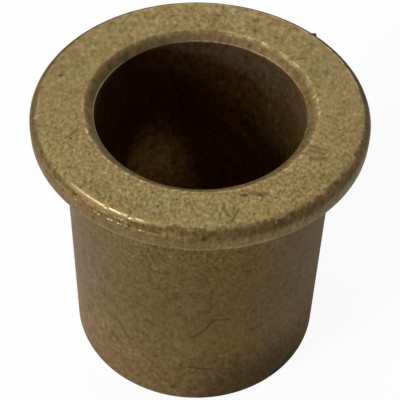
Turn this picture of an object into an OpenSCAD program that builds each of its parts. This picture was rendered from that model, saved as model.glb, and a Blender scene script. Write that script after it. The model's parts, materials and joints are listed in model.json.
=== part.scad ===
// Flanged sleeve bushing: a plain bearing of sintered bronze, pressed as one piece.
// The sleeve stands on its plain end at z = 0, the flange is on top and the bore runs along Z.
// The whole part is one section turned about the axis of the bore.

/* [Bore] */
// Diameter of the bore that the shaft runs in
bore_d = 20; // [8:0.5:60]
// Width of the bevel at the bore's mouth, measured across the flange face
mouth_bevel_w = 1; // [0.6:0.05:1.2]
// Depth of the bevel at the bore's mouth, measured down the bore
mouth_bevel_h = 0.7; // [0.4:0.05:1.2]
// Radius of the lip where the mouth's bevel runs into the flange face
mouth_lip_r = 0.5; // [0.1:0.05:0.8]
// Width of the 45 degree break inside the plain end
bore_end_break = 0.5; // [0.2:0.05:0.8]

/* [Sleeve] */
// Thickness of the sleeve's wall
wall = 3; // [1.6:0.1:8]
// Overall length, from the plain end to the flange face
length = 30; // [8:0.5:100]
// Radius of the outer edge of the plain end
sleeve_end_r = 0.3; // [0.1:0.05:0.6]

/* [Flange] */
// How far the flange stands out from the sleeve
flange_overhang = 3; // [1.8:0.1:10]
// Thickness of the flange
flange_t = 2; // [1.5:0.1:6]
// Width of the bevel round the flange face, measured across the face
rim_bevel_w = 0.8; // [0.5:0.05:1]
// Height of the bevel round the flange face, measured down the rim
rim_bevel_h = 0.45; // [0.3:0.05:0.8]
// Radius where the rim's bevel runs into the flange face
rim_face_r = 0.6; // [0.1:0.05:0.8]
// Radius where the rim's bevel runs into the rim
rim_side_r = 0.3; // [0.1:0.05:0.5]
// Radius of the rim's lower edge
rim_lower_r = 0.15; // [0.1:0.05:0.4]
// Radius of the fillet between the sleeve and the underside of the flange
neck_r = 0.5; // [0.2:0.05:0.8]

/* [Hidden] */
bore_r = bore_d / 2;
sleeve_r = bore_r + wall;
flange_r = sleeve_r + flange_overhang;
flange_seat_z = length - flange_t;

bronze = [0.57, 0.49, 0.31];
// How far an arc is cut past the faces that it runs into, so that it crosses them cleanly
cut_past = 0.0005;
$fn = 144;

// The corners of the section, from the plain end up the outside and down the bore.
// Each is [distance from the axis, height, radius of the arc that rounds it].
SECTION = [
    [bore_r + bore_end_break, 0, 0],
    [sleeve_r, 0, sleeve_end_r],
    [sleeve_r, flange_seat_z, neck_r],
    [flange_r, flange_seat_z, rim_lower_r],
    [flange_r, length - rim_bevel_h, rim_side_r],
    [flange_r - rim_bevel_w, length, rim_face_r],
    [bore_r + mouth_bevel_w, length, mouth_lip_r],
    [bore_r, length - mouth_bevel_h, 0],
    [bore_r, bore_end_break, 0]
];
CORNERS = len(SECTION);

// Corner i as a point, where the corner after the last is the first again
function corner(i) = let (c = SECTION[(i + CORNERS) % CORNERS]) [c[0], c[1]];
function arc_r(i) = SECTION[i][2];

function unit(v) = v / norm(v);
function to_last(i) = unit(corner(i - 1) - corner(i));
function to_next(i) = unit(corner(i + 1) - corner(i));

// Whether the material sticks out at corner i, as it does not at a fillet
function sticks_out(i) = cross(to_next(i), to_last(i)) > 0;
function half_angle(i) = acos(to_last(i) * to_next(i)) / 2;
function arc_centre(i) =
    corner(i) + unit(to_last(i) + to_next(i)) * arc_r(i) / sin(half_angle(i));

// The two points where the arc at corner i touches the edges
function arc_ends(i) =
    let (reach = arc_r(i) / tan(half_angle(i)))
    [corner(i) + to_last(i) * reach, corner(i) + to_next(i) * reach];

module arc_disc(i) {
    translate(arc_centre(i)) circle(arc_r(i) + cut_past);
}

// What lies beyond the arc at a corner that sticks out, reaching clear of the material
module beyond_arc(i) {
    c = arc_centre(i);
    ends = arc_ends(i);
    difference() {
        polygon([c, 2 * ends[0] - c, 2 * corner(i) - c, 2 * ends[1] - c]);
        arc_disc(i);
    }
}

// Half of the bushing's cross-section, with the axis at x = 0
module section() {
    difference() {
        polygon([for (i = [0 : CORNERS - 1]) each sticks_out(i) ? [corner(i)] : arc_ends(i)]);
        for (i = [0 : CORNERS - 1])
            if (arc_r(i) > 0)
                if (sticks_out(i))
                    beyond_arc(i);
                else
                    arc_disc(i);
    }
}

module bushing() {
    color(bronze) rotate_extrude() section();
}

bushing();
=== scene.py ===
"""The looks of a flanged bushing of sintered bronze, on a pale floor in soft light.

The file is laid out as an add-on and run as a script. Lengths are metres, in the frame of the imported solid:
the bushing stands on its plain end at z = 0, with its bore along Z and its flange on top.
"""

import json
import math
from functools import reduce
from operator import add, and_, or_
from typing import NamedTuple

import bmesh
import bpy
from bpy.props import FloatProperty, FloatVectorProperty, IntProperty, PointerProperty
from mathutils import Matrix, Vector, kdtree, noise


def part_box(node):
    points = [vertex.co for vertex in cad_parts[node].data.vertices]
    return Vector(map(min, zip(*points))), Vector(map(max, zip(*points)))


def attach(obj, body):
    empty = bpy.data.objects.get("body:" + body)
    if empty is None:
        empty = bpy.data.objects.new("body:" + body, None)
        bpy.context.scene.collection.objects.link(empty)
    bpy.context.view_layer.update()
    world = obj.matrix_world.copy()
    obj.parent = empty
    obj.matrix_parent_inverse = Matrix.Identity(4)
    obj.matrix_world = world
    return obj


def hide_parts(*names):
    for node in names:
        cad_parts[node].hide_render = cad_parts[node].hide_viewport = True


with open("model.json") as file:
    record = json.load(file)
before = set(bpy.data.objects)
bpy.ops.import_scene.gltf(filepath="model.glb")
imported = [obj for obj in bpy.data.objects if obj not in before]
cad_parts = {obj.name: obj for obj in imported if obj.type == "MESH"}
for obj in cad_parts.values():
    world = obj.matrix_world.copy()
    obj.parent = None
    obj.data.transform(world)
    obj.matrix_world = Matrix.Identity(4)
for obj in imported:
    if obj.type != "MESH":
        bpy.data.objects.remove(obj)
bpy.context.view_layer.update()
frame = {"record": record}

bl_info = {
    "name": "Sintered Bushing",
    "version": (1, 0, 0),
    "blender": (4, 5, 0),
    "location": "View3D > Sidebar > Bushing",
    "description": "Builds a flanged sintered bronze bushing and the stage that it stands on",
    "category": "Add Mesh",
}

MM = 0.001
NODE = "bushing"
MOUNTS = {mount["name"]: mount for mount in frame["record"]["mounts"]}
_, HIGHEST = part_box(NODE)

# How the section is drawn and turned: fewest steps in an arc, fewest cuts in a straight edge, sectors in a
# turn and how near their vertices are merged
ARC_STEPS = 3
EDGE_CUTS = 2
SECTORS = 16
MERGE_DISTANCE = 1e-7

# Which corners of the section are the flange's
FLANGE_CORNERS = slice(3, 8)
# How far from a worn edge it is uneven, how deep, and how many waves a millimetre it has
WEAR_REACH = 0.6 * MM
WEAR_DEPTH = 0.014 * MM
BROAD_WAVE = 0.8 / MM
FINE_WAVE = 2.1 / MM
# The rubbed flat: its middle, its end to each side and its fading, in degrees, and its depth
FLAT_AZIMUTH = -122.5
FLAT_END = 22
FLAT_FADE = 8
FLAT_DEPTH = 0.05 * MM


def length_prop(name, description, default):
    return FloatProperty(name=name, description=description, default=default, unit="LENGTH", precision=5)


def colour_prop(name, description, default):
    return FloatVectorProperty(
        name=name, description=description, default=default, size=3, subtype="COLOR", min=0, max=1
    )


def angle_prop(name, description, degrees):
    return FloatProperty(
        name=name, description=description, default=math.radians(degrees), subtype="ANGLE"
    )


class BushingSizes(bpy.types.PropertyGroup):
    """The section of the bushing and how finely it is turned."""

    bore_radius: length_prop("Bore radius", "Radius of the bore", MOUNTS["bore"]["dims"]["r_mm"] * MM)
    sleeve_radius: length_prop(
        "Sleeve radius", "Outside radius of the sleeve", MOUNTS["sleeve_outside"]["dims"]["r_mm"] * MM
    )
    flange_radius: length_prop("Flange radius", "Outside radius of the flange", HIGHEST.x)
    length: length_prop("Length", "Height of the flange face above the plain end", HIGHEST.z)
    flange_seat: length_prop(
        "Flange seat", "Height of the flange's underside", MOUNTS["flange_seat"]["pos_m"][2]
    )
    mouth_bevel_width: length_prop("Mouth bevel width", "Width of the bevel at the bore's mouth", 1.0 * MM)
    mouth_bevel_depth: length_prop("Mouth bevel depth", "Depth of the bevel at the bore's mouth", 0.7 * MM)
    mouth_lip_round: length_prop("Mouth lip", "Radius where the mouth's bevel meets the face", 0.5 * MM)
    rim_bevel_width: length_prop("Rim bevel width", "Width of the bevel round the face", 0.8 * MM)
    rim_bevel_height: length_prop("Rim bevel height", "Height of the bevel round the face", 0.45 * MM)
    rim_face_round: length_prop("Rim face edge", "Radius where the rim's bevel meets the face", 0.6 * MM)
    rim_side_round: length_prop("Rim side edge", "Radius where the worn bevel meets the rim", 0.6 * MM)
    rim_lower_round: length_prop("Rim lower edge", "Radius of the rim's lower edge", 0.15 * MM)
    neck_round: length_prop("Neck", "Radius of the fillet under the flange", 0.5 * MM)
    sleeve_end_round: length_prop("Sleeve end", "Radius of the plain end's outer edge", 0.3 * MM)
    bore_end_break: length_prop("Bore end break", "Width of the break inside the plain end", 0.5 * MM)
    worn_edge_round: length_prop("Worn edge", "Radius that use has put on the bore's two edges", 0.1 * MM)
    arc_step: length_prop("Arc step", "Length of the straight pieces that make up an arc", 0.06 * MM)
    ring_step: length_prop("Ring step", "Distance between the rings along a straight wall", 3.5 * MM)
    turn_steps: IntProperty(name="Turn steps", description="Number of steps in a full turn", default=1024)


class BushingFinish(bpy.types.PropertyGroup):
    """The colours of the bronze; some of them paint light and shade."""

    face: colour_prop("Face", "Rubbed bronze of the flange face", (0.330, 0.235, 0.094))
    lip: colour_prop("Lip", "Reddish bronze of the mouth behind on the right", (0.285, 0.168, 0.079))
    mouth: colour_prop("Mouth", "Bronze of the bevel at the bore's mouth", (0.228, 0.157, 0.060))
    bevel: colour_prop("Rim bevel", "Dirty bronze of the bevel round the face", (0.177, 0.112, 0.043))
    # The rim and the sleeve are darker than the face partly as painted shade, for the dimmer light on the
    # sides; the face is also worn lighter by rubbing.
    rim: colour_prop("Rim", "Bronze of the flange's rim", (0.137, 0.089, 0.037))
    sleeve: colour_prop("Sleeve", "Brown bronze of the sleeve", (0.113, 0.0705, 0.0245))
    foot: colour_prop("Foot", "Warmer bronze low on the sleeve", (0.140, 0.084, 0.0280))
    bore: colour_prop("Bore", "Dull bronze at the top of the bore", (0.124, 0.075, 0.036))
    # Oil is a little darker than the bore's top colour: partly oil, partly painted shade lower down in the
    # bore.
    oil: colour_prop("Oil", "Oily bronze down the right of the bore", (0.120, 0.067, 0.019))
    # Painted shade: the penumbra along the painted edge of the shadow in the bore, also darkening the film's
    # upper part.
    painted_penumbra: colour_prop("Damp", "Dark bronze along the slanting oil line in the bore", (0.080, 0.033, 0.006))
    # The film covers the bore's wall in its painted shadow, below the slanting line.
    film: colour_prop("Film", "Reddish film of oil below the oil line", (0.185, 0.054, 0.011))
    # Partly a reddish film, partly painted light: the wall lighter deep in the bore, for light bounced inside
    # it.
    deep_film_and_bounce: colour_prop("Settled oil", "Thick film of oil deep in the bore", (0.34, 0.135, 0.034))
    # Painted light: a patch of light bounced onto the bore's wall from the lit wall opposite.
    painted_bounce: colour_prop("Varnish", "Dried oil on the wall of the bore", (0.90, 0.53, 0.130))
    pore: colour_prop("Pore", "Open pores and dirt", (0.055, 0.028, 0.007))
    # Bare metal on worn edges, also used to paint highlights and glints along them.
    bare_and_highlights: colour_prop("Bare metal", "Bare metal on worn edges", (0.80, 0.58, 0.28))
    # Also paints glints where the scraped spots lie along the edges and the lip.
    fleck: colour_prop("Fleck", "Fresh metal in scrapes", (0.78, 0.67, 0.48))


class BushingStage(bpy.types.PropertyGroup):
    """The floor, the light and the camera."""

    floor: colour_prop("Floor", "Colour of the floor", (0.9, 0.9, 0.9))
    whiteness: FloatProperty(
        name="Whiteness", description="How far the floor looks white instead of lit", default=0.92
    )
    sky: FloatProperty(name="Sky", description="Strength of the even light from all round", default=0.25)
    window: FloatProperty(
        name="Window", description="Power of the wide low lamp on the left", default=3.5, unit="POWER"
    )
    upper: FloatProperty(
        name="Upper", description="Power of the small lamp above the wide one", default=0.9, unit="POWER"
    )
    back: FloatProperty(
        name="Back", description="Power of the soft lamp behind", default=0.45, unit="POWER"
    )
    right: FloatProperty(
        name="Right", description="Power of the soft lamp on the right", default=0.14, unit="POWER"
    )
    overhead: FloatProperty(
        name="Overhead", description="Power of the small lamp above", default=0.3, unit="POWER"
    )
    camera_distance: length_prop(
        "Camera distance", "Distance from the middle of the flange face to the camera", 109.66 * MM
    )
    camera_height: angle_prop("Camera height", "Angle of the camera above the flange face", 43.29)
    camera_tilt: angle_prop("Camera tilt", "Angle that the camera looks down", 47.91)
    camera_pan: angle_prop("Camera pan", "Turn of the camera to the right", 0.151)
    camera_roll: angle_prop("Camera roll", "Turn of the camera about its own axis", 1.79)
    camera_lens: FloatProperty(
        name="Lens", description="Focal length in millimetres on a 36 mm frame", default=105.17
    )


# The section and its turning


def section_corners(sizes):
    """The corners of the section with their radii, from the plain end up the outside and down the bore."""
    return [
        (sizes.bore_radius + sizes.bore_end_break, 0, sizes.worn_edge_round),
        (sizes.sleeve_radius, 0, sizes.sleeve_end_round),
        (sizes.sleeve_radius, sizes.flange_seat, sizes.neck_round),
        (sizes.flange_radius, sizes.flange_seat, sizes.rim_lower_round),
        (sizes.flange_radius, sizes.length - sizes.rim_bevel_height, sizes.rim_side_round),
        (sizes.flange_radius - sizes.rim_bevel_width, sizes.length, sizes.rim_face_round),
        (sizes.bore_radius + sizes.mouth_bevel_width, sizes.length, sizes.mouth_lip_round),
        (sizes.bore_radius, sizes.length - sizes.mouth_bevel_depth, sizes.worn_edge_round),
        (sizes.bore_radius, sizes.bore_end_break, sizes.worn_edge_round),
    ]


def draw_section(bm, sizes):
    """Draws the section as one face, rounds its corners and cuts its straight edges for the rings."""
    corners = section_corners(sizes)
    verts = [bm.verts.new((radius, 0, height)) for radius, height, _ in corners]
    bm.faces.new(verts)
    for vert, (_, _, arc_radius) in zip(verts, corners):
        ways = [edge.other_vert(vert).co - vert.co for edge in vert.link_edges]
        angle = ways[0].angle(ways[1])
        arc_length = arc_radius * (math.pi - angle)
        bmesh.ops.bevel(
            bm,
            geom=[vert],
            offset=arc_radius / math.tan(angle / 2),
            offset_type="OFFSET",
            affect="VERTICES",
            segments=max(ARC_STEPS, round(arc_length / sizes.arc_step)),
            profile=0.5,
            material=-1,
        )
    for edge in list(bm.edges):
        length = edge.calc_length()
        if length > 2 * sizes.arc_step:
            cuts = max(EDGE_CUTS, round(length / sizes.ring_step))
            bmesh.ops.subdivide_edges(bm, edges=[edge], cuts=cuts)
    bmesh.ops.delete(bm, geom=list(bm.faces), context="FACES_ONLY")


def turn_section(bm, sizes):
    """Turns the drawn section round the bore's axis: a narrow sector first, then copies of it all round."""
    sector_angle = 2 * math.pi / SECTORS
    bmesh.ops.spin(
        bm,
        geom=list(bm.verts) + list(bm.edges),
        axis=(0, 0, 1),
        angle=sector_angle,
        steps=sizes.turn_steps // SECTORS,
    )
    bmesh.ops.spin(
        bm,
        geom=list(bm.verts) + list(bm.edges) + list(bm.faces),
        axis=(0, 0, 1),
        angle=2 * math.pi - sector_angle,
        steps=SECTORS - 1,
        use_duplicate=True,
    )
    bmesh.ops.remove_doubles(bm, verts=list(bm.verts), dist=MERGE_DISTANCE)
    bmesh.ops.recalc_face_normals(bm, faces=list(bm.faces))


def turned(azimuth, radius, height):
    """The point at an azimuth in degrees, a distance from the axis and a height."""
    turn = math.radians(azimuth)
    return (radius * math.cos(turn), radius * math.sin(turn), height)


class Nick(NamedTuple):
    """A dent in the skin, or a burr where the depth is negative; degrees and millimetres."""

    azimuth: float
    radius: float
    height: float
    reach: float
    depth: float


NICKS = (
    # The edge between the rim and its bevel
    Nick(-132.6, 15.97, 29.45, 0.20, 0.06),
    Nick(-128.1, 15.95, 29.56, 0.22, 0.05),
    Nick(-121.4, 15.97, 29.50, 0.25, 0.06),
    Nick(-119.9, 15.96, 29.52, 0.18, 0.04),
    Nick(-116.2, 15.96, 29.53, 0.20, 0.05),
    Nick(-113.3, 15.97, 29.48, 0.20, 0.05),
    Nick(-111.2, 15.90, 29.60, 0.26, 0.07),
    Nick(-109.4, 15.95, 29.55, 0.18, 0.04),
    Nick(-95.4, 15.96, 29.52, 0.18, 0.04),
    # The bevel itself
    Nick(-133.3, 15.62, 29.76, 0.22, 0.05),
    Nick(-111.1, 15.48, 29.84, 0.20, 0.06),
    Nick(-87.2, 15.93, 29.50, 0.30, 0.07),
    Nick(-64.5, 15.55, 29.80, 0.18, 0.05),
    Nick(-44.7, 15.55, 29.80, 0.25, 0.08),
    # The edge between the face and the bevel
    Nick(-121.2, 15.20, 29.97, 0.20, 0.05),
    Nick(-112.4, 15.20, 29.97, 0.22, 0.06),
    Nick(-111.2, 15.22, 29.96, 0.20, 0.06),
    Nick(-171.0, 15.28, 29.94, 0.22, 0.06),
    # The lip of the mouth
    Nick(41.8, 11.04, 29.96, 0.22, 0.07),
    Nick(55.8, 11.02, 29.96, 0.25, 0.05),
    Nick(65.9, 10.97, 29.95, 0.24, 0.05),
    Nick(74.8, 10.80, 29.86, 0.16, 0.04),
    Nick(9.4, 10.92, 29.94, 0.24, 0.09),
    Nick(5.0, 11.06, 29.97, 0.16, 0.04),
    # A burr that stands out behind on the right
    Nick(45.4, 16.00, 29.45, 0.38, -0.30),
)


def strike_nicks(bm):
    """Presses the nicks into the skin and raises the burr."""
    bm.normal_update()
    bm.verts.index_update()
    bm.verts.ensure_lookup_table()
    tree = kdtree.KDTree(len(bm.verts))
    for vert in bm.verts:
        tree.insert(vert.co, vert.index)
    tree.balance()
    for nick in NICKS:
        centre = MM * Vector(turned(nick.azimuth, nick.radius, nick.height))
        way = bm.verts[tree.find(centre)[1]].normal.copy()
        reach = nick.reach * MM
        for _, index, distance in tree.find_range(centre, reach):
            bm.verts[index].co -= way * (1 - (distance / reach) ** 2) ** 2 * nick.depth * MM


def wear_edges(bm, sizes):
    """Makes the flange's edges a little uneven, never outside the turned section."""
    edges = [Vector(corner[:2]) for corner in section_corners(sizes)[FLANGE_CORNERS]]
    for vert in bm.verts:
        spot = Vector((vert.co.xy.length, vert.co.z))
        near = 1 - min((spot - edge).length for edge in edges) / WEAR_REACH
        if near > 0:
            wave = noise.noise(vert.co * BROAD_WAVE) + 0.5 * noise.noise(vert.co * FINE_WAVE)
            vert.co -= vert.normal * near * WEAR_DEPTH * (1.5 + wave)


def rub_flat(bm, sizes):
    """Rubs a narrow flat on the edge between the face and the rim's bevel, in front on the left."""
    edge = Vector((sizes.flange_radius - sizes.rim_bevel_width, sizes.length))
    lean = math.atan2(sizes.rim_bevel_height, sizes.rim_bevel_width) / 2
    way = Vector((math.sin(lean), math.cos(lean)))
    for vert in bm.verts:
        spot = Vector((vert.co.xy.length, vert.co.z))
        if (spot - edge).length > sizes.rim_bevel_width:
            continue
        turn = abs(math.degrees(math.atan2(vert.co.y, vert.co.x)) - FLAT_AZIMUTH)
        high = (spot - edge).dot(way) + FLAT_DEPTH
        share = min(1, max(0, (FLAT_END - turn) / FLAT_FADE))
        if high > 0 and share > 0:
            out = vert.co.xy.normalized() * way.x
            vert.co -= Vector((out.x, out.y, way.y)) * high * share


def mesh_object(name, bm):
    """A new object at the origin that holds the bmesh's skin, smoothly shaded."""
    for face in bm.faces:
        face.smooth = True
    mesh = bpy.data.meshes.new(name)
    bm.to_mesh(mesh)
    bm.free()
    piece = bpy.data.objects.new(name, mesh)
    bpy.context.scene.collection.objects.link(piece)
    return piece


# Shader expressions


class Value:
    """A number in a shader: a socket whose arithmetic adds Math nodes."""

    def __init__(self, shader, socket):
        self.shader = shader
        self.socket = socket

    def math(self, operation, *values):
        return self.shader.node("ShaderNodeMath", {"operation": operation}, dict(enumerate(values)))

    def __add__(self, other):
        return self.math("ADD", self, other)

    def __radd__(self, other):
        return self.math("ADD", other, self)

    def __sub__(self, other):
        return self.math("SUBTRACT", self, other)

    def __rsub__(self, other):
        return self.math("SUBTRACT", other, self)

    def __mul__(self, other):
        return self.math("MULTIPLY", self, other)

    def __rmul__(self, other):
        return self.math("MULTIPLY", other, self)

    def toward(self, other, share):
        """A number on the way to another."""
        return self + (other - self) * share

    def __abs__(self):
        return self.math("ABSOLUTE", self)

    def __or__(self, other):
        """The larger of two masks."""
        return self.math("MAXIMUM", self, other)

    def __and__(self, other):
        """The smaller of two numbers."""
        return self.math("MINIMUM", self, other)

    def output(self, key):
        """Another output of the same node."""
        return Value(self.shader, self.socket.node.outputs[key])


class Pattern(NamedTuple):
    """A noise: its features in a millimetre, its levels of detail and how rough they are."""

    scale: float
    detail: float = 2.0
    roughness: float = 0.5


class Shader:
    """A material's node tree, with one method that adds any node."""

    def __init__(self, tree):
        self.tree = tree
        tree.nodes.clear()

    def node(self, kind, settings=None, sockets=None, out=0):
        """Adds a node, sets it, then fills its sockets with values or links, and returns one output."""
        made = self.tree.nodes.new(kind)
        for name, value in (settings or {}).items():
            setattr(made, name, value)
        for key, value in (sockets or {}).items():
            if isinstance(value, Value):
                self.tree.links.new(value.socket, made.inputs[key])
            else:
                made.inputs[key].default_value = value
        return Value(self, made.outputs[out]) if made.outputs else None

    def vector(self, operation, sockets, out=0):
        return self.node("ShaderNodeVectorMath", {"operation": operation}, sockets, out)

    def smooth(self, value, low, high):
        """0 below low and 1 above high, or the other way round where high is the smaller."""
        return self.node(
            "ShaderNodeMapRange",
            {"interpolation_type": "SMOOTHSTEP"},
            {"Value": value, "From Min": low, "From Max": high},
        )

    def near(self, value, middle, reach):
        """1 round the middle, falling to 0 at the reach."""
        return self.smooth(abs(value - middle), reach, reach * 0.3)

    def mix(self, factor, first, second):
        """A colour between two others."""
        return self.node(
            "ShaderNodeMix", {"data_type": "RGBA"}, {0: factor, 6: first, 7: second}, out=2
        )

    def tinted(self, colour, amount, tint):
        """The colour with each channel raised by its own share of an amount."""
        gain = self.vector("MULTIPLY_ADD", {0: amount, 1: tint, 2: (1.0, 1.0, 1.0)})
        return self.vector("MULTIPLY", {0: colour, 1: gain})

    def noise(self, place, pattern):
        sockets = {"Scale": pattern.scale, "Detail": pattern.detail, "Roughness": pattern.roughness}
        return self.node("ShaderNodeTexNoise", None, {"Vector": place, **sockets})

    def strokes(self, place, strokes):
        """How far the nearest of some straight strokes is, as a share of its width."""
        return reduce(and_, (self.stroke(place, *stroke) for stroke in strokes))

    def stroke(self, place, start, end, width):
        along = Vector(end) - Vector(start)
        offset = self.vector("SUBTRACT", {0: place, 1: start})
        share = self.vector("DOT_PRODUCT", {0: offset, 1: along / along.length_squared}, out=1)
        share = self.node("ShaderNodeClamp", None, {"Value": share})
        foot = self.vector("SCALE", {0: tuple(along), "Scale": share})
        return self.vector("DISTANCE", {0: offset, 1: foot}, out=1) * (1 / width)


def rgba(colour):
    return (*colour, 1.0)


# The bronze: places are in millimetres and angles in degrees

FACE_HEIGHT = HIGHEST.z / MM
SLEEVE_RADIUS = MOUNTS["sleeve_outside"]["dims"]["r_mm"]
# Distance from the axis and height of the worn edges that strokes follow
RIM_EDGE = (15.92, 29.50)
BEVEL_FOOT = (15.81, 29.61)
MOUTH_FOOT = (10.0, 29.3)
MOUTH_SLOPE = 0.7
LIP_RADIUS = 11.02
LIP_HEIGHT = 29.975


def on_face(x, y):
    return (x, y, FACE_HEIGHT)


def on_sleeve(azimuth, height):
    return turned(azimuth, SLEEVE_RADIUS, height)


def on_rim_edge(azimuth):
    return turned(azimuth, *RIM_EDGE)


def on_bevel_foot(azimuth):
    return turned(azimuth, *BEVEL_FOOT)


def on_lip(azimuth, radius=LIP_RADIUS):
    foot_radius, foot_height = MOUTH_FOOT
    return turned(azimuth, radius, min(LIP_HEIGHT, foot_height + (radius - foot_radius) * MOUTH_SLOPE))


# Strokes in millimetres: start, end and half of the width
PITS = (
    # Spots on the left of the face
    (on_face(-13.46, 3.53), on_face(-13.42, 3.70), 0.20),
    (on_face(-11.70, -4.88), on_face(-11.66, -4.82), 0.14),
    (on_face(-10.51, 8.12), on_face(-10.50, 8.18), 0.13),
    (on_face(-6.94, -9.96), on_face(-6.92, -9.93), 0.14),
    (on_face(-6.37, -11.02), on_face(-6.35, -11.00), 0.12),
    (on_face(-3.98, -11.16), on_face(-3.95, -11.12), 0.15),
    (on_face(-3.42, -12.76), on_face(-3.38, -12.72), 0.17),
    (on_face(-1.88, -11.92), on_face(-1.86, -11.90), 0.12),
    # Spots on the right of the face
    (on_face(3.80, -11.20), on_face(4.15, -11.14), 0.24),
    (on_face(5.35, -11.10), on_face(5.60, -11.20), 0.24),
    (on_face(4.83, -13.34), on_face(4.86, -13.30), 0.15),
    (on_face(6.76, -11.35), on_face(6.78, -11.30), 0.13),
    (on_face(11.80, -0.91), on_face(11.84, -0.90), 0.15),
    (on_face(12.83, -2.76), on_face(12.85, -2.70), 0.13),
    (on_face(9.26, 7.00), on_face(10.14, 7.19), 0.11),
    # Pits on the sleeve
    (on_sleeve(-96.6, 15.85), on_sleeve(-96.2, 15.80), 0.16),
    (on_sleeve(-76.5, 11.30), on_sleeve(-75.0, 11.40), 0.13),
    (on_sleeve(-57.0, 8.20), on_sleeve(-55.5, 8.40), 0.15),
    # Pits on the rim's bevel and its edge
    (on_bevel_foot(-128.7), on_bevel_foot(-128.0), 0.14),
    (on_bevel_foot(-126.0), on_bevel_foot(-125.2), 0.14),
    (on_bevel_foot(-122.4), on_bevel_foot(-121.2), 0.16),
    (on_bevel_foot(-119.9), on_bevel_foot(-118.9), 0.18),
    (on_bevel_foot(-115.2), on_bevel_foot(-113.4), 0.16),
    (on_bevel_foot(-111.5), on_bevel_foot(-110.6), 0.18),
    (on_bevel_foot(-109.2), on_bevel_foot(-108.4), 0.16),
    (on_bevel_foot(-104.8), on_bevel_foot(-101.2), 0.12),
    (turned(-133.3, 15.62, 29.76), turned(-133.0, 15.62, 29.76), 0.14),
    (turned(-111.3, 15.50, 29.83), turned(-110.9, 15.75, 29.69), 0.15),
    (on_rim_edge(-87.6), on_rim_edge(-86.9), 0.34),
)
SCRATCHES = (
    # A broken scratch on the left of the face
    (on_face(-12.20, -4.80), on_face(-11.72, -4.40), 0.11),
    (on_face(-11.65, -4.22), on_face(-11.32, -3.80), 0.14),
    # A group of four on the right
    (on_face(10.11, -4.91), on_face(10.74, -5.14), 0.17),
    (on_face(10.80, -5.20), on_face(11.45, -5.36), 0.17),
    (on_face(9.91, -5.42), on_face(11.24, -5.88), 0.15),
    (on_face(10.04, -6.55), on_face(11.39, -6.43), 0.18),
    # In front of the bore
    (on_face(4.61, -10.91), on_face(6.05, -10.97), 0.20),
    (on_face(3.60, -12.81), on_face(2.88, -14.33), 0.11),
    (on_face(2.36, -13.09), on_face(2.79, -13.71), 0.11),
    # A wavy crack on the sleeve
    (on_sleeve(-90.8, 10.97), on_sleeve(-85.3, 12.32), 0.14),
    (on_sleeve(-85.3, 12.32), on_sleeve(-82.1, 13.88), 0.15),
    (on_sleeve(-82.1, 13.88), on_sleeve(-75.1, 13.69), 0.13),
    # Single scratches on the sleeve
    (on_sleeve(-91.8, 5.91), on_sleeve(-82.8, 5.51), 0.14),
    (on_sleeve(-127.7, 10.72), on_sleeve(-120.2, 8.34), 0.12),
)
# Scraped spots that also paint glints along the edges and the lip
SCRAPES_AND_GLINTS = (
    # Along the edge between the rim and its bevel
    (on_rim_edge(-132.4), on_rim_edge(-131.9), 0.07),
    (on_rim_edge(-127.0), on_rim_edge(-126.3), 0.035),
    (on_rim_edge(-124.6), on_rim_edge(-123.8), 0.035),
    (on_rim_edge(-122.4), on_rim_edge(-121.9), 0.04),
    (on_rim_edge(-119.4), on_rim_edge(-118.6), 0.035),
    (on_rim_edge(-117.8), on_rim_edge(-117.3), 0.035),
    (on_rim_edge(-115.6), on_rim_edge(-114.1), 0.035),
    (on_rim_edge(-112.9), on_rim_edge(-111.9), 0.035),
    (on_rim_edge(-108.2), on_rim_edge(-106.0), 0.035),
    (on_rim_edge(-104.4), on_rim_edge(-101.7), 0.03),
    (on_rim_edge(-95.6), on_rim_edge(-95.4), 0.07),
    # On the bevel
    (turned(-115.7, 15.60, 29.775), turned(-114.4, 15.63, 29.76), 0.05),
    (turned(-64.6, 15.55, 29.80), turned(-64.4, 15.58, 29.79), 0.08),
    (turned(-172.6, 15.30, 29.94), turned(-171.8, 15.42, 29.88), 0.18),
    (turned(176.0, 15.20, 29.98), turned(-176.0, 15.20, 29.98), 0.06),
    # Along the lip of the mouth
    (on_lip(74.9, 10.80), on_lip(74.6, 10.80), 0.14),
    (on_lip(66.2, 10.98), on_lip(65.6, 10.98), 0.16),
    (on_lip(60.4, 10.92), on_lip(60.0, 10.92), 0.12),
    (on_lip(58.2), on_lip(56.2, 11.05), 0.16),
    (on_lip(55.0, 10.90), on_lip(53.6, 10.92), 0.13),
    (on_lip(42.1, 11.04), on_lip(41.6, 11.05), 0.24),
    (on_lip(38.2, 11.05), on_lip(37.6, 11.08), 0.12),
    (on_lip(33.5, 11.08), on_lip(32.8, 11.08), 0.08),
    (on_lip(9.0, 10.72), on_lip(10.2, 11.08), 0.12),
    (on_lip(5.1, 11.06), on_lip(4.6, 11.08), 0.10),
    # A fleck among the pits in front
    (on_face(5.37, -11.40), on_face(5.42, -11.38), 0.08),
)


class Arc(NamedTuple):
    """A stretch round the axis: its middle, how far each way it is full, where it ends, its strength."""

    azimuth: float
    full: float
    end: float
    strength: float = 1.0


# Where the plain colours change, and where they paint light: the sleeve cooler on its lit left and warmer on
# its right, and the rim's right and the bevel's two sides lighter
SLEEVE_LEFT = Arc(-165, 10, 65, 0.3)
SLEEVE_RIGHT = Arc(-40, 5, 55)
RIM_RIGHT = Arc(-45, 15, 60, 0.22)
BEVEL_LEFT = Arc(175, 35, 65, 0.32)
BEVEL_RIGHT = Arc(-45, 15, 60, 0.1)
RED_LIP = Arc(70, 10, 60, 0.6)
WIDE_BEVEL = Arc(-60, 35, 52, 0.3)
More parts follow.
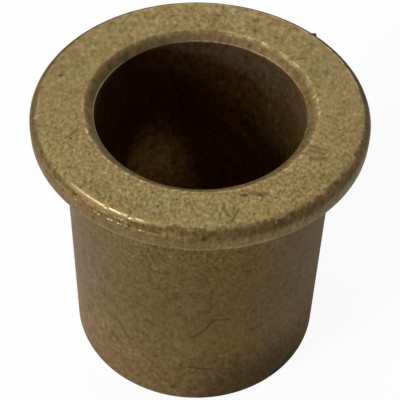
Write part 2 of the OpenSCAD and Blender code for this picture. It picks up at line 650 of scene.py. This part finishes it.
# Painted shade in the bore: the painted edge of its shadow rises on the left, the painted penumbra runs along
# above it, and the film in the painted shadow is olive on the left
SHADOW_EDGE_RISE = Arc(150, 15, 50, 6)
PAINTED_PENUMBRA = Arc(95, 25, 58)
OLIVE_FILM = Arc(180, 10, 38, 0.6)
# Darkening: painted shade at the sleeve's foot and over the highlight on the rim's edge, darker under the
# bevel in front and on the rim behind, and dirt on the bevel, the face and the mouth
FOOT_SHADE = Arc(-60, 5, 44, 0.48)
BEVEL_DIRT = Arc(-70, 6, 28, 0.12)
BEVEL_PATCHES = Arc(-88, 32, 50, 0.12)
EDGE_SHADE = (Arc(-145, 28, 50, 0.36), Arc(-117, 8, 18, 0.32), Arc(-76, 12, 24, 0.3))
SEAM_DARKENING = Arc(-78, 18, 36, 0.12)
FACE_DIRT = Arc(-120, 8, 22, 0.1)
DARKER_BEHIND = Arc(90, 60, 100, 0.45)
MOUTH_DIRT = (Arc(95, 50, 100, 0.28), Arc(60, 35, 58, 0.05))
# Bare metal on worn edges, and painted highlights and glints along them
BRIGHT_LINE = Arc(-122, 9, 19)
TAN_BAND = Arc(-120, 6, 14)
DULL_LIP = Arc(95, 68, 92)
TAN_LIP = Arc(48, 20, 36)
BRIGHT_BORE_EDGE = Arc(-145, 45, 90, 0.6)
FLECKED_BORE_EDGE = Arc(60, 25, 60, 0.2)

# Heights between which a mask goes from 0 to 1
FOOT_SPAN = (15, 4)
FOOT_SHADE_SPAN = (11, 1)
SHADOW_EDGE_RISE_SPAN = (30.2, 27.4)
OIL_AND_SHADE_SPAN = (27.5, 24.5)
DEEP_FILM_AND_BOUNCE_SPAN = (21, 14)
FILM_SHADE_SPAN = (20, 27)
PAINTED_BOUNCE_TOP_SPAN = (22, 15)
PAINTED_BOUNCE_FOOT_SPAN = (4, 13)

# The slanting line that paints the edge of the shadow in the bore: its height on the axis and its rise across
# the bore
SHADOW_EDGE_HEIGHT = 18.5
SHADOW_EDGE_SLOPE = turned(140, 0.75, 0)
SHADOW_EDGE_SPAN = (-0.3, -3)
# How far above the line the painted penumbra reaches: farther below this height, and less far above it
PAINTED_PENUMBRA_HEIGHT = 26
PAINTED_PENUMBRA_SPAN = (7, 4.2)
# The painted patch of bounced light widens downward
PAINTED_BOUNCE_WAY = turned(120, 1, 0)
PAINTED_BOUNCE_HEIGHT = 12
PAINTED_BOUNCE_SPREAD = 0.014
PAINTED_BOUNCE_SPAN = (0.86, 0.99)

# Noise
RAGGED = Pattern(1.4)
DIRT_PATCHES = Pattern(0.6, 3.0, 0.6)
WORN_PATCHES = Pattern(0.9, 3.0, 0.6)
CHIPS = Pattern(3.0)
FLECKS = Pattern(2.4)
FINE_GRAIN = Pattern(3.2, 1.0, 0.6)
COARSE_GRAIN = Pattern(2.1, 1.0, 0.6)
BLOTCHES = Pattern(0.5, 3.0, 0.6)
WARMTH = Pattern(0.3)
PORE_SCALE = 0.9
GRAIN_STRETCH = (1.05, 0.72, 0.72)
# The grain is coarser away from the camera of the photo
DEPTH_WAY = (0, 0.67, -0.74)
COARSE_SPAN = (-30, -10)

# How much a tint changes red, green and blue
# SIDE_TINT paints light: cooler on the sleeve's lit left, warmer on its right.
SIDE_TINT = (-0.08, 0.0, 0.32)
GRAIN_TINT = (1.0, 1.2, 1.7)
WARM_TINT = (0.25, 0.0, -0.3)


class Spot(NamedTuple):
    """Where a point of the surface is, in millimetres, and which way it lies from the axis."""

    place: Value
    radius: Value
    height: Value
    way: Value


def surface_spot(shader):
    place = shader.vector("SCALE", {0: shader.node("ShaderNodeTexCoord", out="Object"), "Scale": 1 / MM})
    flat = shader.vector("MULTIPLY", {0: place, 1: (1, 1, 0)})
    return Spot(
        place,
        shader.vector("LENGTH", {0: flat}, out=1),
        shader.node("ShaderNodeSeparateXYZ", None, {0: place}, out="Z"),
        shader.vector("NORMALIZE", {0: flat}),
    )


def sector(shader, spot, arc):
    """The arc's strength where it is full, falling to 0 at its ends."""
    lean = shader.vector("DOT_PRODUCT", {0: spot.way, 1: turned(arc.azimuth, 1, 0)}, out=1)
    share = shader.smooth(lean, math.cos(math.radians(arc.end)), math.cos(math.radians(arc.full)))
    return share * arc.strength


def zone_colour(shader, spot, sizes, finish):
    """The plain colour of each zone of the bushing, with painted light on the sides of the sleeve, the rim
    and the bevel, and the bore's painted shade and light.
    """
    top = sizes.length / MM
    bore = sizes.bore_radius / MM
    mouth = bore + sizes.mouth_bevel_width / MM
    mouth_foot = top - sizes.mouth_bevel_depth / MM
    sleeve = sizes.sleeve_radius / MM
    bevel = top - sizes.rim_bevel_height / MM
    bevel_edge = (sizes.flange_radius - sizes.rim_bevel_width) / MM
    ragged = (shader.noise(spot.place, RAGGED) - 0.5) * 0.2
    outside = shader.smooth(spot.radius, sleeve + 1, sleeve + 2)
    inside = shader.smooth(spot.radius, mouth + 0.4, mouth + 0.1)

    low = shader.smooth(spot.height, *FOOT_SPAN)
    # Painted light: the sleeve cooler on its lit left and warmer on its right.
    side = sector(shader, spot, SLEEVE_LEFT) - sector(shader, spot, SLEEVE_RIGHT)
    colour = shader.mix(low, rgba(finish.sleeve), rgba(finish.foot))
    colour = shader.tinted(colour, side, SIDE_TINT)

    # Painted light: the rim takes some of the face's colour on the right.
    rim = shader.mix(sector(shader, spot, RIM_RIGHT), rgba(finish.rim), rgba(finish.face))
    colour = shader.mix(outside, colour, rim)
    # Painted light: the bevel takes the face's colour on its two lit sides.
    face_share = sector(shader, spot, BEVEL_LEFT) + sector(shader, spot, BEVEL_RIGHT)
    slope = shader.mix(face_share, rgba(finish.bevel), rgba(finish.face))
    on_bevel = outside * shader.smooth(spot.height + ragged, bevel - 0.35, bevel + 0.05)
    colour = shader.mix(on_bevel, colour, slope)

    lip = shader.mix(sector(shader, spot, RED_LIP), rgba(finish.mouth), rgba(finish.lip))
    colour = shader.mix(inside * shader.smooth(spot.height, mouth_foot - 0.1, mouth_foot), colour, lip)

    reach = spot.radius + ragged + sector(shader, spot, WIDE_BEVEL)
    face = shader.smooth(reach, bevel_edge + 0.35, bevel_edge + 0.05)
    face = face * shader.smooth((top - spot.height) * (1 - inside * 0.45), 0.2, 0.05)
    colour = shader.mix(face, colour, rgba(finish.face))
    in_bore = shader.smooth(spot.radius, bore + 0.08, bore + 0.02)
    return shader.mix(in_bore, colour, bore_colour(shader, spot, finish))


def bore_colour(shader, spot, finish):
    """The bore's wall with painted shade and light: dull bronze on top, a little darker lower down, a band of
    painted penumbra along a slanting line that paints the edge of the shadow, and below it a reddish film in
    the painted shadow, darker near the top and lighter deep down.
    """
    slope = shader.vector("DOT_PRODUCT", {0: spot.place, 1: SHADOW_EDGE_SLOPE}, out=1)
    rise = sector(shader, spot, SHADOW_EDGE_RISE) * shader.smooth(spot.height, *SHADOW_EDGE_RISE_SPAN)
    level = spot.height - slope - SHADOW_EDGE_HEIGHT - rise
    # Darker lower down: partly oil, partly painted shade.
    upper_wall = shader.mix(shader.smooth(spot.height, *OIL_AND_SHADE_SPAN), rgba(finish.bore), rgba(finish.oil))
    painted_penumbra = shader.smooth(level + spot.height - PAINTED_PENUMBRA_HEIGHT, *PAINTED_PENUMBRA_SPAN) * sector(shader, spot, PAINTED_PENUMBRA)
    wall = shader.mix(painted_penumbra, upper_wall, rgba(finish.painted_penumbra))
    film = shader.mix(sector(shader, spot, OLIVE_FILM), rgba(finish.film), rgba(finish.oil))
    # Painted light: lighter deep in the bore.
    film = shader.mix(shader.smooth(spot.height, *DEEP_FILM_AND_BOUNCE_SPAN), film, rgba(finish.deep_film_and_bounce))
    # Painted shade: the film darker towards the top, where more light comes in.
    film = shader.mix(shader.smooth(spot.height, *FILM_SHADE_SPAN) * 0.5, film, rgba(finish.painted_penumbra))
    return shader.mix(shader.smooth(level, *SHADOW_EDGE_SPAN), wall, film)


def painted_bounce_patch(shader, spot, blotch):
    """Painted light on the wall of the bore, behind on the left: a patch of light bounced from the lit wall
    opposite.
    """
    lean = shader.vector("DOT_PRODUCT", {0: spot.way, 1: PAINTED_BOUNCE_WAY}, out=1)
    lean = lean - (spot.height - PAINTED_BOUNCE_HEIGHT) * PAINTED_BOUNCE_SPREAD + blotch * 0.12
    patch = shader.smooth(lean, *PAINTED_BOUNCE_SPAN) * shader.smooth(spot.height, *PAINTED_BOUNCE_TOP_SPAN)
    return patch * shader.smooth(spot.height, *PAINTED_BOUNCE_FOOT_SPAN)


def dirt_and_painted_shade(shader, spot, sizes):
    """How much the colour darkens: painted shade at the foot of the sleeve and over the highlight on the
    rim's edge, darker under the bevel in front and on the rim behind, and dirt on the bevel in front, the
    face and the mouth.
    """
    bevel = (sizes.length - sizes.rim_bevel_height) / MM
    rim = sizes.flange_radius / MM
    mouth = (sizes.bore_radius + sizes.mouth_bevel_width) / MM
    outer = shader.smooth(spot.radius, rim - 0.75, rim - 0.6)
    patches = shader.smooth(shader.noise(spot.place, DIRT_PATCHES), 0.3, 0.6)

    # Painted shade: darker towards the bottom on the front right of the sleeve.
    foot = shader.smooth(spot.height, *FOOT_SHADE_SPAN) * sector(shader, spot, FOOT_SHADE)
    front = sector(shader, spot, BEVEL_DIRT) + patches * sector(shader, spot, BEVEL_PATCHES)
    front = front * shader.smooth(spot.height, bevel, bevel + 0.1) * outer
    # Painted shade that dims the lamp's highlight on the rim's rounded edge, in front.
    edge = reduce(or_, (sector(shader, spot, arc) for arc in EDGE_SHADE))
    edge = edge * shader.near(spot.height, bevel, 0.4) * outer
    # Darker just under the rim's bevel in front.
    seam = shader.smooth(spot.height, bevel - 1.1, bevel - 0.1) * outer
    seam = seam * sector(shader, spot, SEAM_DARKENING)
    face = shader.near(spot.radius, rim - 1.8, 1.0) * sector(shader, spot, FACE_DIRT)
    # Darker on the rim behind.
    behind = outer * sector(shader, spot, DARKER_BEHIND)
    in_mouth = reduce(add, (sector(shader, spot, arc) for arc in MOUTH_DIRT))
    in_mouth = in_mouth * shader.smooth(spot.radius, mouth + 0.1, mouth - 0.1)
    return foot | front | edge | seam | face | behind | in_mouth


def worn_edges_and_highlights(shader, spot, sizes):
    """Where the edges are worn down to the metal, and where its colour paints highlights and glints along
    them, broken up by noise.
    """
    top = sizes.length / MM
    rim = sizes.flange_radius / MM
    bore = sizes.bore_radius / MM
    bevel_edge = rim - sizes.rim_bevel_width / MM
    lip = bore + sizes.mouth_bevel_width / MM
    patches = shader.smooth(shader.noise(spot.place, WORN_PATCHES), 0.42, 0.62)
    chips = shader.smooth(shader.noise(spot.place, CHIPS), 0.28, 0.45)
    flecks = shader.smooth(shader.noise(spot.place, FLECKS), 0.45, 0.62)
    upper = shader.smooth(spot.height, top - 0.4, top - 0.3)

    edge = shader.near(spot.radius, bevel_edge + 0.05, 0.23) * upper
    # Painted highlight, partly wear: the bright line on the face's edge in front on the left.
    line = edge * sector(shader, spot, BRIGHT_LINE) * (0.4 + chips * 0.5)
    # Painted highlight: tan flecks below the bright line.
    band = shader.near(spot.radius, bevel_edge + 0.38, 0.2) * upper * sector(shader, spot, TAN_BAND)
    band = band * (0.02 + flecks * 0.16)

    # Painted glints, partly wear, along the lip of the mouth.
    lip_edge = shader.near(spot.radius, lip + 0.03, 0.22) * upper * (0.3 + patches * 0.7) * flecks * 0.7
    lip_edge = lip_edge * (1 - sector(shader, spot, DULL_LIP))
    # Painted highlight: a tan band on the lip behind on the right.
    tan_lip = shader.near(spot.radius, lip - 0.02, 0.32) * upper * sector(shader, spot, TAN_LIP)
    tan_lip = tan_lip * (0.06 + patches * 0.36)

    # Painted highlight, partly wear: a light line at the bore's edge.
    bore_edge = shader.near(spot.height, top - sizes.mouth_bevel_depth / MM, 0.10)
    bore_edge = bore_edge * shader.smooth(spot.radius, bore + 0.3, bore + 0.1)
    flecked = sector(shader, spot, FLECKED_BORE_EDGE) * (0.4 + flecks * 0.6)
    bore_edge = bore_edge * (sector(shader, spot, BRIGHT_BORE_EDGE) | flecked)

    # Painted highlight: a faint light line along the rim's lower edge.
    lower = shader.near(spot.height, sizes.flange_seat / MM + 0.12, 0.32) * 0.1
    lower = lower * shader.smooth(spot.radius, rim - 0.4, rim - 0.2) * (0.4 + patches * 0.6)
    return line | band | edge * patches * 0.3 | lip_edge | tan_lip | bore_edge | lower


def sintered_bronze(sizes, finish):
    """Pressed and sintered bronze: granular and porous, worn by rubbing on top, brown outside and oily
    inside, with painted light and shade: highlights and glints on the edges, shade on the sleeve's foot and
    the rim's edge, and shade and bounced light in the bore.
    """
    material = bpy.data.materials.new("sintered_bronze")
    material.use_nodes = True
    shader = Shader(material.node_tree)
    spot = surface_spot(shader)
    place = spot.place
    top = sizes.length / MM
    bore = sizes.bore_radius / MM
    sleeve = sizes.sleeve_radius / MM
    face_share = shader.smooth(spot.height, top - 0.3, top - 0.05)
    in_bore = shader.smooth(spot.radius, bore + 0.08, bore + 0.02)
    on_rim = shader.smooth(spot.radius, sleeve + 1, sleeve + 2)

    away = shader.vector("DOT_PRODUCT", {0: place, 1: DEPTH_WAY}, out=1)
    coarse = shader.smooth(away, *COARSE_SPAN)
    stretched = shader.vector("MULTIPLY", {0: place, 1: GRAIN_STRETCH})
    fine_grain = shader.noise(stretched, FINE_GRAIN)
    speckle = fine_grain.toward(shader.noise(stretched, COARSE_GRAIN), coarse) - 0.5
    grain = speckle * (0.75 + abs(speckle) * 2 + speckle * 0.4)
    blotch = shader.noise(place, BLOTCHES) - 0.5

    cells = shader.node("ShaderNodeTexVoronoi", {"feature": "F1"}, {"Vector": place, "Scale": PORE_SCALE})
    pores = shader.smooth(cells, 0.20, 0.05) * face_share * 0.12
    pits = shader.smooth(shader.strokes(place, PITS), 1.1, 0.2) * 0.7
    scratches = shader.smooth(shader.strokes(place, SCRATCHES), 1.8, 0.1)
    scratches = scratches * (0.6 - face_share * 0.2 + grain * 1.5)
    dark = (pores | pits | scratches) * (1 - in_bore)
    # Scraped spots, which also paint glints along the rim's edge, the bevel and the lip.
    scrapes_and_glints = shader.smooth(shader.strokes(place, SCRAPES_AND_GLINTS), 1.3, 0.2)
    scrapes_and_glints = scrapes_and_glints * shader.smooth(speckle, -0.15, 0.15)
    # Worn edges, which also paint highlights and glints.
    bare_and_highlights = worn_edges_and_highlights(shader, spot, sizes)
    # Dirt, and painted shade at the sleeve's foot and over the highlight on the rim's edge.
    dirt = dirt_and_painted_shade(shader, spot, sizes)
    # Painted light: the patch of bounced light on the bore's wall.
    painted_bounce = in_bore * painted_bounce_patch(shader, spot, blotch)

    strength = (1.9 - coarse * 0.52).toward(1.2, on_rim).toward(1.6, face_share).toward(1.5, in_bore)
    shade = grain * strength * (1 - bare_and_highlights * 0.7) + blotch * 0.5
    warmth = (shader.noise(place, WARMTH) - 0.5) * (0.4 + face_share * 0.6)
    # The colour of scraped spots and painted glints: pale, golden near the bore.
    fresh_and_glint = shader.smooth(spot.radius, bore + 2, bore + 1.5)
    fresh_and_glint = shader.mix(fresh_and_glint, rgba(finish.fleck), rgba(finish.bare_and_highlights))
    colour = shader.mix(painted_bounce, zone_colour(shader, spot, sizes, finish), rgba(finish.painted_bounce))
    colour = shader.tinted(colour, shade, GRAIN_TINT)
    colour = shader.tinted(colour, warmth, WARM_TINT)
    colour = shader.vector("SCALE", {0: colour, "Scale": 1 - dirt})
    colour = shader.mix(dark, colour, rgba(finish.pore))
    colour = shader.mix(bare_and_highlights, colour, rgba(finish.bare_and_highlights))
    colour = shader.mix(scrapes_and_glints, colour, fresh_and_glint)

    roughness = 0.58 - face_share * 0.06 + in_bore * 0.17 + dirt * 0.4
    roughness = roughness.toward(0.65, dark).toward(0.25, bare_and_highlights).toward(0.4, scrapes_and_glints)
    metallic = (0.8 + in_bore * 0.2).toward(0.2, painted_bounce).toward(1.0, bare_and_highlights | dark).toward(0.9, scrapes_and_glints)
    relief = (grain * 0.4 + blotch * 0.4 - dark) * (0.5 + face_share * 0.5) * (1 - in_bore) * (1 - bare_and_highlights)
    bump = shader.node(
        "ShaderNodeBump", None, {"Strength": 0.4, "Distance": 0.05 * MM, "Height": relief}
    )
    bronze = shader.node(
        "ShaderNodeBsdfPrincipled",
        None,
        {"Base Color": colour, "Metallic": metallic, "Roughness": roughness, "Normal": bump,
         "Specular IOR Level": 0.25},
    )
    shader.node("ShaderNodeOutputMaterial", None, {"Surface": bronze})
    return material


class BUSHING_OT_turn_bushing(bpy.types.Operator):
    """Turn the bushing from its section and give it its bronze"""

    bl_idname = "bushing.turn_bushing"
    bl_label = "Turn Bushing"

    def execute(self, context):
        sizes = context.scene.bushing_sizes
        bm = bmesh.new()
        draw_section(bm, sizes)
        turn_section(bm, sizes)
        wear_edges(bm, sizes)
        rub_flat(bm, sizes)
        strike_nicks(bm)
        piece = mesh_object("bronze_bushing", bm)
        piece.data.materials.append(sintered_bronze(sizes, context.scene.bushing_finish))
        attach(piece, "root")
        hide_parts(NODE)
        return {"FINISHED"}


# The stage

FLOOR_REACH = 2.0
# How far from the axis reflections begin to see the floor as white, and where they see it so in full
WHITE_SPAN = (28 * MM, 52 * MM)
SENSOR_WIDTH = 36
CLIP_START = 0.01
LAMP_DISTANCE = 0.5


class Lamp(NamedTuple):
    """A lamp, named as its power on the stage: its direction in degrees and its width in metres."""

    name: str
    azimuth: float
    elevation: float
    width: float


LAMPS = (
    Lamp("window", -147, 14, 0.34),
    Lamp("upper", -141, 30, 0.12),
    Lamp("back", 80, 24, 0.45),
    Lamp("right", 25, 45, 0.3),
    Lamp("overhead", 118, 65, 0.14),
)


def pale_floor(stage):
    """A wide pale floor that looks near white and keeps the bushing's shadow."""
    bm = bmesh.new()
    bmesh.ops.create_grid(bm, x_segments=1, y_segments=1, size=FLOOR_REACH)
    floor = mesh_object("floor", bm)
    material = bpy.data.materials.new("pale_floor")
    material.use_nodes = True
    shader = Shader(material.node_tree)
    path = shader.node("ShaderNodeLightPath", out="Is Camera Ray")
    distance = shader.vector("LENGTH", {0: shader.node("ShaderNodeTexCoord", out="Object")}, out=1)
    away = shader.smooth(distance, *WHITE_SPAN)
    seen = path | (path.output("Is Glossy Ray") | path.output("Is Transmission Ray")) * away
    paper = shader.node("ShaderNodeBsdfDiffuse", None, {"Color": rgba(stage.floor)})
    white = shader.node("ShaderNodeEmission", None, {"Color": (1, 1, 1, 1), "Strength": 1.0})
    surface = shader.node("ShaderNodeMixShader", None, {0: seen * stage.whiteness, 1: paper, 2: white})
    shader.node("ShaderNodeOutputMaterial", None, {"Surface": surface})
    floor.data.materials.append(material)


def even_sky(stage):
    world = bpy.data.worlds.new("even_sky")
    world.use_nodes = True
    shader = Shader(world.node_tree)
    sky = shader.node("ShaderNodeBackground", None, {"Color": (1, 1, 1, 1), "Strength": stage.sky})
    shader.node("ShaderNodeOutputWorld", None, {"Surface": sky})
    bpy.context.scene.world = world


def soft_lamp(lamp, power, middle):
    """A round soft lamp, turned to the bushing."""
    light = bpy.data.lights.new(lamp.name, "AREA")
    light.shape = "DISK"
    light.size = lamp.width
    light.energy = power
    rise = math.radians(lamp.elevation)
    way = Vector(turned(lamp.azimuth, math.cos(rise), math.sin(rise)))
    lamp_object = bpy.data.objects.new(lamp.name, light)
    lamp_object.matrix_world = (
        Matrix.Translation(middle + way * LAMP_DISTANCE) @ way.to_track_quat("Z", "Y").to_matrix().to_4x4()
    )
    bpy.context.scene.collection.objects.link(lamp_object)


def photo_camera(stage, target):
    """A camera in front of the bushing, above the flange face and looking down past it."""
    camera = bpy.data.cameras.new("camera")
    camera.lens = stage.camera_lens
    camera.sensor_width = SENSOR_WIDTH
    camera.clip_start = CLIP_START
    out = Vector((0, -math.cos(stage.camera_height), math.sin(stage.camera_height)))
    camera_object = bpy.data.objects.new("camera", camera)
    camera_object.matrix_world = (
        Matrix.Translation(target + out * stage.camera_distance)
        @ Matrix.Rotation(-stage.camera_pan, 4, "Z")
        @ Matrix.Rotation(math.pi / 2 - stage.camera_tilt, 4, "X")
        @ Matrix.Rotation(stage.camera_roll, 4, "Z")
    )
    bpy.context.scene.collection.objects.link(camera_object)
    bpy.context.scene.camera = camera_object


class BUSHING_OT_set_stage(bpy.types.Operator):
    """Lay the floor, hang the lamps and place the camera"""

    bl_idname = "bushing.set_stage"
    bl_label = "Set Stage"

    def execute(self, context):
        stage = context.scene.bushing_stage
        sizes = context.scene.bushing_sizes
        pale_floor(stage)
        even_sky(stage)
        middle = Vector((0, 0, sizes.length / 2))
        for lamp in LAMPS:
            soft_lamp(lamp, getattr(stage, lamp.name), middle)
        photo_camera(stage, Vector((0, 0, sizes.length)))
        context.scene.view_settings.view_transform = "Standard"
        return {"FINISHED"}


class BUSHING_PT_bushing(bpy.types.Panel):
    """The bushing's sizes, finish and stage, and the buttons that build it"""

    bl_idname = "BUSHING_PT_bushing"
    bl_label = "Bushing"
    bl_space_type = "VIEW_3D"
    bl_region_type = "UI"
    bl_category = "Bushing"

    def draw(self, context):
        layout = self.layout
        for group_name in GROUPS:
            group = getattr(context.scene, group_name)
            column = layout.column(align=True)
            for name in group.__annotations__:
                column.prop(group, name)
        for operator in OPERATORS:
            layout.operator(operator.bl_idname)


GROUPS = {
    "bushing_sizes": BushingSizes,
    "bushing_finish": BushingFinish,
    "bushing_stage": BushingStage,
}
OPERATORS = (BUSHING_OT_turn_bushing, BUSHING_OT_set_stage)
CLASSES = (*GROUPS.values(), *OPERATORS, BUSHING_PT_bushing)


def register():
    for cls in CLASSES:
        bpy.utils.register_class(cls)
    for name, group in GROUPS.items():
        setattr(bpy.types.Scene, name, PointerProperty(type=group))


def unregister():
    for name in GROUPS:
        delattr(bpy.types.Scene, name)
    for cls in reversed(CLASSES):
        bpy.utils.unregister_class(cls)


def main():
    register()
    bpy.ops.bushing.turn_bushing()
    bpy.ops.bushing.set_stage()


if __name__ == "__main__":
    main()
